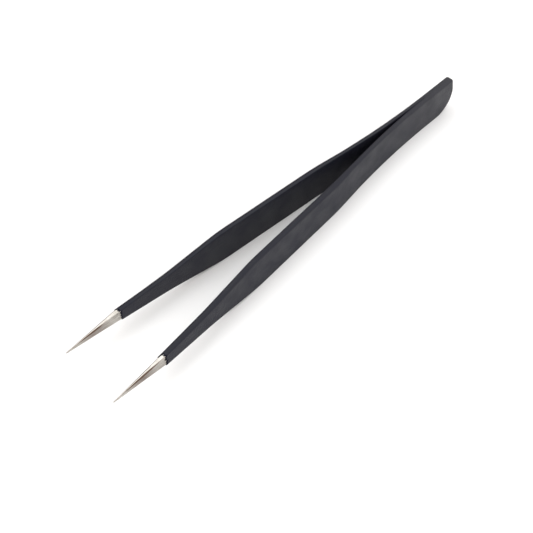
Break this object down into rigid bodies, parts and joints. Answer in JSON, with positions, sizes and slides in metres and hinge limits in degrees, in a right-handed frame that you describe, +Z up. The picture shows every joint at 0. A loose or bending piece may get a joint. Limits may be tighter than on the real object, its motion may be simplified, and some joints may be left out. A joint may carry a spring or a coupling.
{
  "type": "precision tweezers",
  "caption": "Straight fine-point precision tweezers: two spring arms welded at the heel, black coated, with bare ground steel points.",
  "frame": {"origin": "on the bench, under the middle of the length, halfway between the arms", "axes": "+X from the heel to the points, +Y towards the left arm, +Z up along the width of the arms"},
  "size_m": [0.14, 0.0214, 0.0111],
  "materials": {
    "arm_steel": "fine ground, satin",
    "weld_steel": "fused, dull",
    "black_coating": "matt epoxy, conductive"
  },
  "bodies": {
    "heel": {"left_arm_root": "arm_steel", "right_arm_root": "arm_steel", "spot_welds": "weld_steel", "heel_coating": "black_coating"},
    "left_arm": {"left_arm_blade": "arm_steel", "left_blade_coating": "black_coating"},
    "right_arm": {"right_arm_blade": "arm_steel", "right_blade_coating": "black_coating"}
  },
  "joints": [
    {"name": "left_arm_squeeze", "type": "hinge", "parent": "heel", "child": "left_arm", "pos_m": [-0.03505, 0.00177, 0.00555], "axis": [0, 0, -1], "range_deg": [0, 5.47], "stiffness_Nm_per_rad": 1.5},
    {"name": "right_arm_squeeze", "type": "hinge", "parent": "heel", "child": "right_arm", "pos_m": [-0.03505, -0.00177, 0.00555], "axis": [0, 0, 1], "range_deg": [0, 5.47], "stiffness_Nm_per_rad": 1.5}
  ]
}
